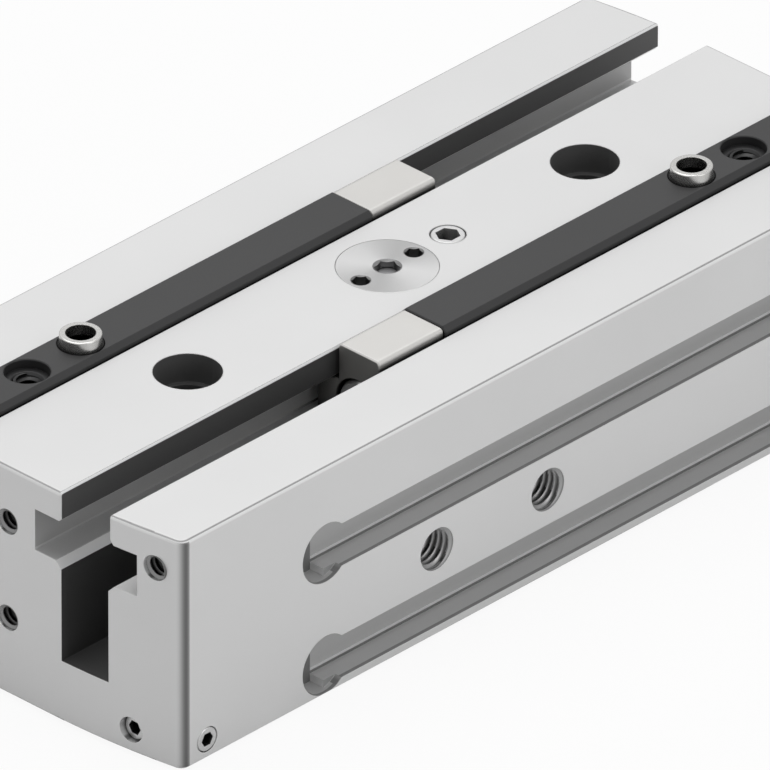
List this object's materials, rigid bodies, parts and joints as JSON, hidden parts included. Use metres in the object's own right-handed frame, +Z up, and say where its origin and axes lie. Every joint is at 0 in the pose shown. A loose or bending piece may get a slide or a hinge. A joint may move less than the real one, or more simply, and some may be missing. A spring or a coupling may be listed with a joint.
{
  "type": "parallel gripper",
  "caption": "Long-stroke pneumatic parallel gripper whose two jaw slides run side by side in T-grooves and are synchronised by a rack and pinion.",
  "frame": {"origin": "middle of the housing's foot face, with both jaws fully open", "axes": "+X along the housing and the jaws' travel, +Y across it away from the air ports, +Z up towards the finger faces"},
  "size_m": [0.1154, 0.0484, 0.0305],
  "materials": {
    "housing_metal": "bead-blasted and clear anodised, silk matt",
    "black_slide": "black hard anodised, matt",
    "driver_metal": "nickel coated, satin",
    "bright_screw": "zinc plated",
    "dark_screw": "black oxide",
    "gear_steel": "ground and oiled",
    "sleeve_metal": "ground and hardened",
    "cover_metal": "turned",
    "rod_chrome": "hard chromed and ground",
    "piston_metal": "turned",
    "cap_metal": "turned, anodised",
    "spring_steel": "phosphated",
    "bush_bronze": "sintered",
    "seal_rubber": "matt",
    "magnet": "bonded ferrite, matt",
    "guide_plastic": "filled plastic, matt"
  },
  "bodies": {
    "housing": {"cap_retaining_ring_a": "spring_steel", "cap_retaining_ring_b": "spring_steel", "cap_seal_a": "seal_rubber", "cap_seal_b": "seal_rubber", "cover_grub_screw": "bright_screw", "cylinder_cap_a": "cap_metal", "cylinder_cap_b": "cap_metal", "end_duct_plugs": "bright_screw", "gland_seal_a": "seal_rubber", "gland_seal_b": "seal_rubber", "housing": "housing_metal", "pinion_axle": "gear_steel", "pinion_cover": "cover_metal", "pinion_washers": "bush_bronze", "rod_gland_a": "cap_metal", "rod_gland_b": "cap_metal", "rod_seal_a": "seal_rubber", "rod_seal_b": "seal_rubber", "side_duct_plugs": "bright_screw"},
    "jaw_a": {"centring_sleeve_a": "sleeve_metal", "driver_block_a": "driver_metal", "driver_screw_a": "bright_screw", "jaw_slide_a": "black_slide", "piston_a": "piston_metal", "piston_guide_ring_a": "guide_plastic", "piston_magnet_a": "magnet", "piston_rod_a": "rod_chrome", "piston_screw_a": "dark_screw", "piston_seal_a": "seal_rubber", "rack_a": "gear_steel", "rack_screws_a": "dark_screw", "rod_screw_a": "dark_screw"},
    "jaw_b": {"centring_sleeve_b": "sleeve_metal", "driver_block_b": "driver_metal", "driver_screw_b": "bright_screw", "jaw_slide_b": "black_slide", "piston_b": "piston_metal", "piston_guide_ring_b": "guide_plastic", "piston_magnet_b": "magnet", "piston_rod_b": "rod_chrome", "piston_screw_b": "dark_screw", "piston_seal_b": "seal_rubber", "rack_b": "gear_steel", "rack_screws_b": "dark_screw", "rod_screw_b": "dark_screw"},
    "pinion": {"pinion": "gear_steel", "pinion_bush": "bush_bronze"}
  },
  "joints": [
    {"name": "jaw_a_slide", "type": "slide", "parent": "housing", "child": "jaw_a", "axis": [1, 0, 0], "range_m": [0, 0.04]},
    {"name": "jaw_b_slide", "type": "slide", "parent": "housing", "child": "jaw_b", "axis": [-1, 0, 0], "range_m": [0, 0.04]},
    {"name": "pinion_turn", "type": "hinge", "parent": "housing", "child": "pinion", "pos_m": [0, 0, 0.0225], "axis": [0, 0, 1], "range_deg": [-480, 0]}
  ],
  "couplings": [
    {"joint": "jaw_b_slide", "follows": "jaw_a_slide", "ratio": 1},
    {"joint": "pinion_turn", "follows": "jaw_a_slide", "rad_per_m": -208.33}
  ]
}
